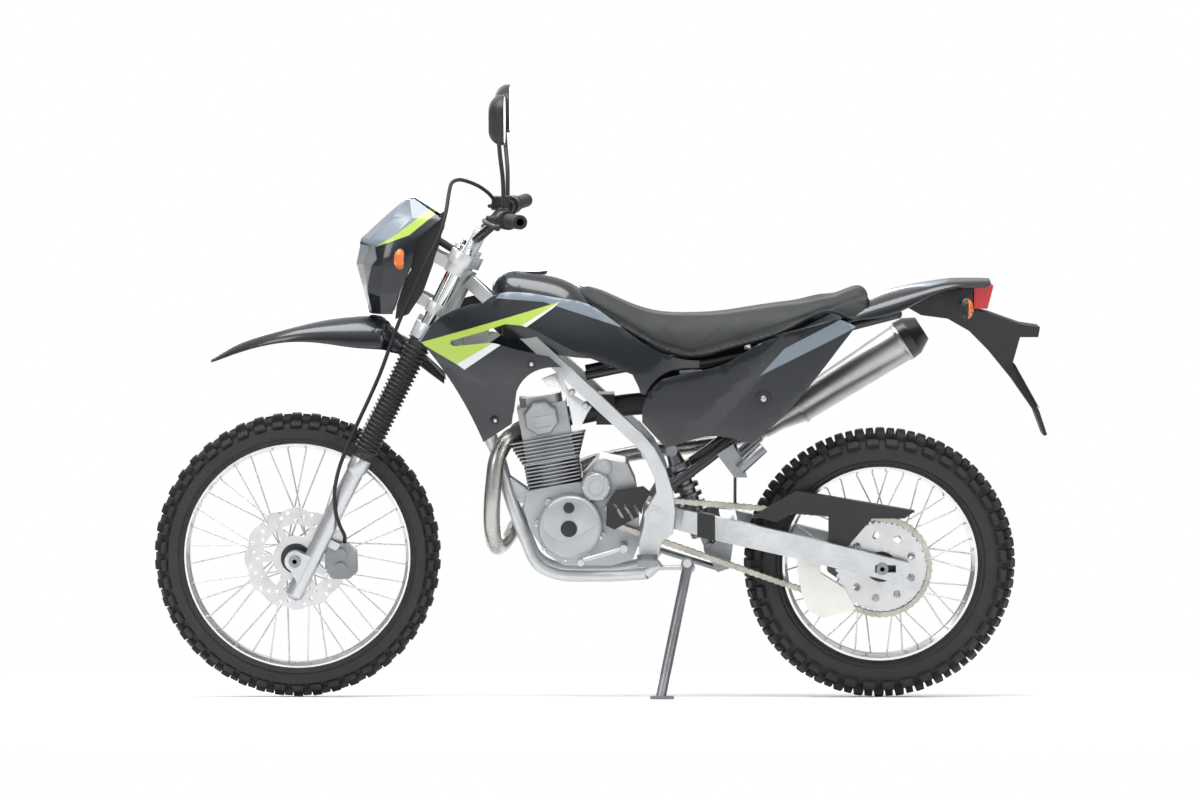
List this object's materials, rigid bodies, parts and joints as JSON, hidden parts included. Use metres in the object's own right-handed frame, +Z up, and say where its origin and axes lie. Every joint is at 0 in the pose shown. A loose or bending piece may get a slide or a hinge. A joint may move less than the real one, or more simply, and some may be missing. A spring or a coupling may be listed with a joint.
{
  "type": "dual sport motorcycle",
  "caption": "Dual sport motorcycle with an open engine, wire wheels on knobbly tyres, a raised front mudguard and a side stand on which it leans.",
  "frame": {"origin": "on the ground, under the centre of the whole machine's box as it leans on its side stand", "axes": "+X to the front of the machine, +Y to its left, +Z up"},
  "size_m": [2.1104, 0.8498, 1.477],
  "materials": {
    "frame_silver": "silver paint over cast and welded aluminium, satin",
    "subframe_black": "black paint, satin",
    "panel_paint": "dark blue-black moulded plastic, semi gloss",
    "tank_paint": "black, semi gloss",
    "seat_cover": "dark grey seat cover, grained and matt",
    "peg_steel": "plated steel, dull",
    "engine_cases": "cast aluminium, satin",
    "engine_fins": "cast aluminium, rough",
    "header_steel": "stainless steel with a warm heat tint",
    "muffler_steel": "brushed stainless steel",
    "black_steel": "black paint, satin",
    "black_plastic": "black moulded plastic, matt",
    "white_plastic": "off-white nylon",
    "red_lens": "red moulded lens",
    "orange_lens": "orange moulded lens",
    "clear_lens": "clear lens",
    "bright_alloy": "bright aluminium, brushed",
    "axle_steel": "machined steel",
    "chain_steel": "steel, lightly oiled",
    "caliper_alloy": "cast aluminium, grey",
    "fork_chrome": "hard chrome, polished",
    "bellows_rubber": "black ribbed rubber",
    "grip_rubber": "black rubber",
    "hose_rubber": "black rubber hose",
    "mirror_glass": "mirror glass",
    "tyre_rubber": "black tyre rubber",
    "spoke_steel": "bright steel wire",
    "hub_black": "black paint over cast aluminium",
    "disc_steel": "ground stainless steel"
  },
  "bodies": {
    "main": {"frame": "frame_silver", "subframe": "subframe_black", "shrouds": "panel_paint", "side_covers": "panel_paint", "fuel_tank": "tank_paint", "seat": "seat_cover", "footpegs": "peg_steel", "crankcase": "engine_cases", "cylinder": "engine_fins", "cylinder_head": "engine_fins", "engine_covers": "engine_cases", "sprocket_cover": "black_plastic", "exhaust_pipe": "header_steel", "muffler": "muffler_steel", "muffler_cap": "black_steel", "intake": "black_plastic", "tail_fender": "panel_paint", "tail_light": "red_lens", "plate_bracket": "black_plastic", "rear_indicators": "orange_lens", "pedals": "bright_alloy", "swingarm": "bright_alloy", "rear_axle": "axle_steel", "shock": "axle_steel", "chain": "chain_steel", "chain_guard": "black_plastic", "chain_guide": "white_plastic", "rear_caliper": "caliper_alloy"},
    "steering": {"front_axle": "axle_steel", "fork_lowers": "bright_alloy", "fork_tubes": "fork_chrome", "fork_boots": "bellows_rubber", "triple_clamps": "frame_silver", "handlebar": "black_steel", "grips": "grip_rubber", "controls": "black_plastic", "mirrors": "black_plastic", "mirror_glasses": "mirror_glass", "headlight_cowl": "panel_paint", "headlight_lens": "clear_lens", "gauge": "black_plastic", "front_fender": "panel_paint", "front_indicators": "orange_lens", "front_caliper": "caliper_alloy", "brake_hose": "hose_rubber"},
    "front_wheel": {"front_tyre": "tyre_rubber", "front_rim": "bright_alloy", "front_spokes": "spoke_steel", "front_hub": "hub_black", "front_disc": "disc_steel"},
    "rear_wheel": {"rear_tyre": "tyre_rubber", "rear_rim": "bright_alloy", "rear_spokes": "spoke_steel", "rear_hub": "hub_black", "rear_disc": "disc_steel", "rear_sprocket": "disc_steel"},
    "side_stand": {"side_stand": "black_steel"}
  },
  "joints": [
    {"name": "steering_turn", "type": "hinge", "parent": "main", "child": "steering", "pos_m": [0.39799, -0.04587, 0.8465], "axis": [-0.4462, 0.1246, 0.8862], "range_deg": [-45, 45]},
    {"name": "front_wheel_spin", "type": "hinge", "parent": "steering", "child": "front_wheel", "pos_m": [0.71672, -0.11737, 0.33773], "axis": [0, 0.9903, -0.1392], "continuous": true},
    {"name": "rear_wheel_spin", "type": "hinge", "parent": "main", "child": "rear_wheel", "pos_m": [-0.66328, -0.11988, 0.31991], "axis": [0, 0.9903, -0.1392], "continuous": true},
    {"name": "side_stand_swing", "type": "hinge", "parent": "main", "child": "side_stand", "pos_m": [-0.2065, 0.00025, 0.31245], "axis": [0.0931, 0.9708, 0.2211], "range_deg": [0, 99.59]}
  ]
}
